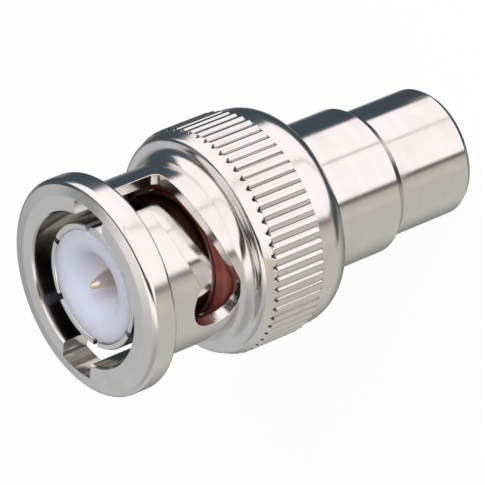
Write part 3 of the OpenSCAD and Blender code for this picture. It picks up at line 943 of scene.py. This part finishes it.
def makeBarrel(part):
    low, high = heights("phono_barrel")
    step = low + part["length"]
    bevelLength, bevelDrop = part["endBevel"]
    corners = [(part["bore"], low, part["edge"]), (part["radius"] - bevelDrop, low, part["bevelEdge"]),
               (part["radius"], low + bevelLength, part["bevelEdge"]),
               (part["radius"], step, part["stepEdge"]), (part["spigot"], step, 0),
               (part["spigot"], high, part["edge"]), (part["bore"], high, 0)]
    settle(lathe("phonoBarrel", corners), "phono_barrel", "body", brightNickel)


makeBarrel(barrel)


# front insulator

frontInsulator = dict(radius=3.58, recess=2.17, recessRound=1.3, recessLean=20.0, shankHole=0.92, edge=0.1)


def makeFrontInsulator(part):
    low, high = heights("front_insulator")
    # the recess rolls in softly and narrows towards the pin
    deep = high - (part["recess"] - part["shankHole"]) / math.tan(math.radians(part["recessLean"]))
    corners = [(part["shankHole"], low, 0), (part["radius"], low, part["edge"]),
               (part["radius"], high, part["edge"]), (part["recess"], high, part["recessRound"]),
               (part["shankHole"], deep, 0)]
    settle(lathe("frontInsulator", corners), "front_insulator", "body", milkyInsulator)


makeFrontInsulator(frontInsulator)


# centre pin

centrePin = dict(shank=0.9, radius=0.675, shoulder=10.15, pointLength=2.1, pointSteps=12, tip=0.11, edge=0.05,
                 segments=96)


def makePin(part):
    low, high = heights("centre_pin")
    shoulder, straight = low + part["shoulder"], high - part["pointLength"]
    drop = part["radius"] - part["tip"]
    bow = (part["pointLength"] ** 2 + drop ** 2) / (2 * drop)
    lean = math.degrees(math.asin(part["pointLength"] / bow))
    corners = [(0, low, 0), (part["shank"], low, part["edge"]), (part["shank"], shoulder, part["edge"]),
               (part["radius"], shoulder, 0)]
    corners += curve((part["radius"] - bow, straight), bow, 0, lean, part["pointSteps"])
    corners += [(0, high, 0)]
    piece = lathe("centrePin", corners, part["segments"])
    settle(piece, "centre_pin", "body", paleGold)


makePin(centrePin)


# rear insulator

rearInsulator = dict(radius=3.38, leadIn=1.8, leadInDepth=0.7, fingerRoom=2.3, fingerTop=9.05, seat=2.12,
                     edge=0.12)


def makeRearInsulator(part):
    low, high = heights("rear_insulator")
    lead, fingers = low + part["leadInDepth"], low + part["fingerTop"]
    corners = [(part["leadIn"], low, part["edge"]), (part["radius"], low, part["edge"]),
               (part["radius"], high, 0), (part["seat"], high, 0), (part["seat"], fingers, 0),
               (part["fingerRoom"], fingers, 0), (part["fingerRoom"], lead, 0),
               (part["leadIn"], lead, part["edge"])]
    settle(lathe("rearInsulator", corners), "rear_insulator", "body", milkyInsulator)


makeRearInsulator(rearInsulator)


# phono socket

phonoSocket = dict(radius=2.1, bore=1.6, boreDepth=8.3, shankHole=0.92, shankDepth=2.0, edge=0.1,
                   segments=128)
socketSlots = dict(count=4, width=0.4, length=6.0, angle=0.0, past=0.5, endPast=1.0)


def makeSocket(part):
    low, high = heights("phono_socket")
    boreTop, shankLow = low + part["boreDepth"], high - part["shankDepth"]
    corners = [(0, boreTop, 0), (part["bore"], boreTop, 0), (part["bore"], low, part["edge"]),
               (part["radius"], low, part["edge"]), (part["radius"], high, 0), (part["shankHole"], high, 0),
               (part["shankHole"], shankLow, 0), (0, shankLow, 0)]
    piece = lathe("phonoSocket", corners, part["segments"])
    carve(piece, slotBlades("socketBlades", socketSlots, part["bore"], part["radius"], low, 1))
    settle(piece, "phono_socket", "body", paleGold)


makeSocket(phonoSocket)


# gasket and thrust washer

gasket = dict(inner=4.27, outer=4.75, edge=0.12, lipInner=4.08, lipHeight=0.3, lipRound=0.3, lipGap=0.02)
thrustWasher = dict(inner=4.87, outer=5.93, edge=0.05)


def makeRing(name, part, node, body, material):
    low, high = heights(node)
    corners = [(part["inner"], low, part["edge"]), (part["outer"], low, part["edge"])]
    if "lipInner" in part:
        # soft lip that swells over the step of its seat
        top, under = high + part["lipHeight"], high + part["lipGap"]
        corners += [(part["outer"], high, part["lipRound"]), (part["lipInner"], top, part["edge"]),
                    (part["lipInner"], under, 0), (part["inner"], under, 0)]
    else:
        corners += [(part["outer"], high, part["edge"]), (part["inner"], high, part["edge"])]
    settle(lathe(name, corners), node, body, material)


makeRing("gasketRing", gasket, "gasket", "body", redSilicone)
makeRing("thrustRing", thrustWasher, "thrust_washer", "washer", springSteel)


# wave washer

waveWasher = dict(inner=4.87, outer=5.93, thickness=0.25, waves=3, steps=192, keep=0.43)


def makeWaveWasher(part):
    low, high = heights("wave_washer")
    lift = (high - low - part["thickness"]) / 2
    bm = bmesh.new()
    rings = []
    for k in range(part["steps"]):
        angle = turn * k / part["steps"]
        under = low + lift * (1 + math.cos(part["waves"] * angle))
        over, inner, outer = under + part["thickness"], part["inner"], part["outer"]
        section = [(inner, under), (outer, under), (outer, over), (inner, over)]
        rings.append([bm.verts.new((r * math.cos(angle), r * math.sin(angle), z)) for r, z in section])
    for k, ring in enumerate(rings):
        after = rings[(k + 1) % len(rings)]
        for c in range(len(ring)):
            e = (c + 1) % len(ring)
            bm.faces.new((ring[c], after[c], after[e], ring[e])).material_index = milledWall
    bmesh.ops.recalc_face_normals(bm, faces=bm.faces)
    piece = makePiece("waveWasher", bm)
    settle(piece, "wave_washer", "body", springSteel)
    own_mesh(piece)


makeWaveWasher(waveWasher)

print("scene ready")
